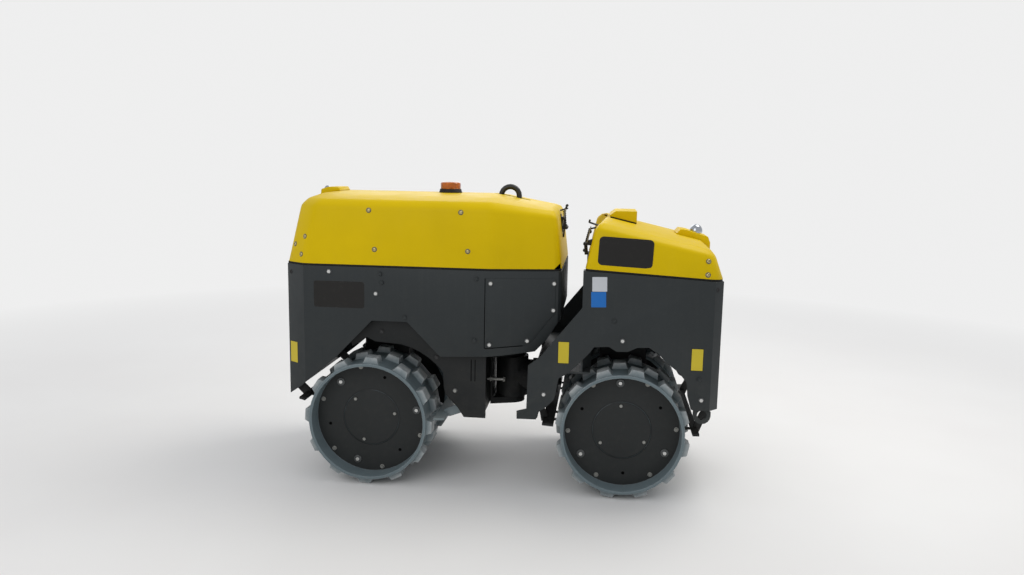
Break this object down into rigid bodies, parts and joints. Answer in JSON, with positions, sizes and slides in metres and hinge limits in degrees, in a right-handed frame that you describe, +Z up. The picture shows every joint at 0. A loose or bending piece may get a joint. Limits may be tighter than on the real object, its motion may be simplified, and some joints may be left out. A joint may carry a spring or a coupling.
{
  "type": "articulated padfoot trench roller",
  "caption": "Articulated walk-along trench roller with split padfoot drums, scrapers, a steering and oscillation joint, lift-up hoods, beacon and lifting eye.",
  "frame": {"origin": "on the ground, under the middle of the machine's outline", "axes": "+X towards the front section with the control lid, +Y to its left, +Z up"},
  "size_m": [1.894, 0.82, 1.315],
  "materials": {
    "yellow_hood": "satin yellow paint, dusty",
    "grey_panel": "satin dark grey paint, dusty",
    "dark_frame": "matt black-grey paint",
    "drum_steel": "worn blue-grey paint and bare steel",
    "black_steel": "matt black paint",
    "zinc": "zinc-plated steel",
    "amber_lens": "ribbed amber lens",
    "black_plastic": "moulded black",
    "chrome": "polished",
    "engine_iron": "dull",
    "hose_rubber": "dull black rubber"
  },
  "bodies": {
    "rear_section": {"rear_tub": "grey_panel", "rear_frame_plate_left": "grey_panel", "rear_frame_plate_right": "grey_panel", "rear_cross_beam": "dark_frame", "rear_yoke": "dark_frame", "steering_pin": "zinc", "engine_block": "engine_iron", "lifting_eye": "black_steel", "access_panel_left": "grey_panel", "access_panel_right": "grey_panel", "rear_hood_hinge": "black_steel", "rear_hood_seal": "hose_rubber", "rear_drum_carrier": "dark_frame", "rear_scraper_inner": "drum_steel", "rear_scraper_outer": "dark_frame", "cylinder_bracket": "dark_frame"},
    "rear_drum": {"rear_drum_left": "drum_steel", "rear_drum_right": "drum_steel", "rear_drum_axle": "black_steel"},
    "engine_cover": {"engine_hood": "yellow_hood", "beacon_base": "black_plastic", "beacon_lens": "amber_lens", "rear_receiver_housing": "yellow_hood", "engine_hood_catch": "black_steel"},
    "joint_block": {"pivot_block": "dark_frame"},
    "front_section": {"front_tub": "grey_panel", "oscillation_bearing": "dark_frame", "front_hood_hinge": "black_steel", "front_hood_seal": "hose_rubber", "front_drum_carrier": "dark_frame", "front_scraper_inner": "dark_frame", "front_scraper_outer": "dark_frame", "tie_down_eye_left": "grey_panel", "tie_down_eye_right": "grey_panel"},
    "front_drum": {"front_drum_left": "drum_steel", "front_drum_right": "drum_steel", "front_drum_axle": "black_steel"},
    "front_cover": {"front_hood": "yellow_hood", "receiver_pod": "yellow_hood", "receiver_dome": "chrome", "control_panel": "black_plastic", "front_hood_catch": "black_steel"},
    "control_cover": {"control_lid": "yellow_hood"},
    "cylinder_barrel": {"steering_barrel": "black_steel"},
    "cylinder_rod": {"steering_rod": "zinc"}
  },
  "joints": [
    {"name": "steering", "type": "hinge", "parent": "rear_section", "child": "joint_block", "pos_m": [0.031, 0, 0.425], "axis": [0, 0, 1], "range_deg": [-28, 28]},
    {"name": "oscillation", "type": "hinge", "parent": "joint_block", "child": "front_section", "pos_m": [0.031, 0, 0.425], "axis": [1, 0, 0], "range_deg": [-6, 6]},
    {"name": "rear_drum_roll", "type": "hinge", "parent": "rear_section", "child": "rear_drum", "pos_m": [-0.555, 0, 0.28392], "axis": [0, 1, 0], "continuous": true},
    {"name": "front_drum_roll", "type": "hinge", "parent": "front_section", "child": "front_drum", "pos_m": [0.541, 0, 0.28392], "axis": [0, 1, 0], "continuous": true},
    {"name": "engine_hood_lift", "type": "hinge", "parent": "rear_section", "child": "engine_cover", "pos_m": [-0.938, 0, 0.9615], "axis": [0, -1, 0], "range_deg": [0, 55]},
    {"name": "front_hood_lift", "type": "hinge", "parent": "front_section", "child": "front_cover", "pos_m": [0.938, 0, 0.9475], "axis": [0, 1, 0], "range_deg": [0, 55]},
    {"name": "control_lid_lift", "type": "hinge", "parent": "front_cover", "child": "control_cover", "pos_m": [0.462, 0, 1.18233], "axis": [0, -1, 0], "range_deg": [0, 100]},
    {"name": "cylinder_swing", "type": "hinge", "parent": "rear_section", "child": "cylinder_barrel", "pos_m": [-0.29, 0.112, 0.5], "axis": [0, 0, 1], "range_deg": [-1, 1]},
    {"name": "cylinder_stroke", "type": "slide", "parent": "cylinder_barrel", "child": "cylinder_rod", "axis": [0.9997, 0.0249, 0], "range_m": [-0.0575, 0.0575]}
  ],
  "couplings": [
    {"joint": "cylinder_swing", "follows": "steering", "ratio": -0.007},
    {"joint": "cylinder_stroke", "follows": "steering", "m_per_rad": -0.1153}
  ]
}
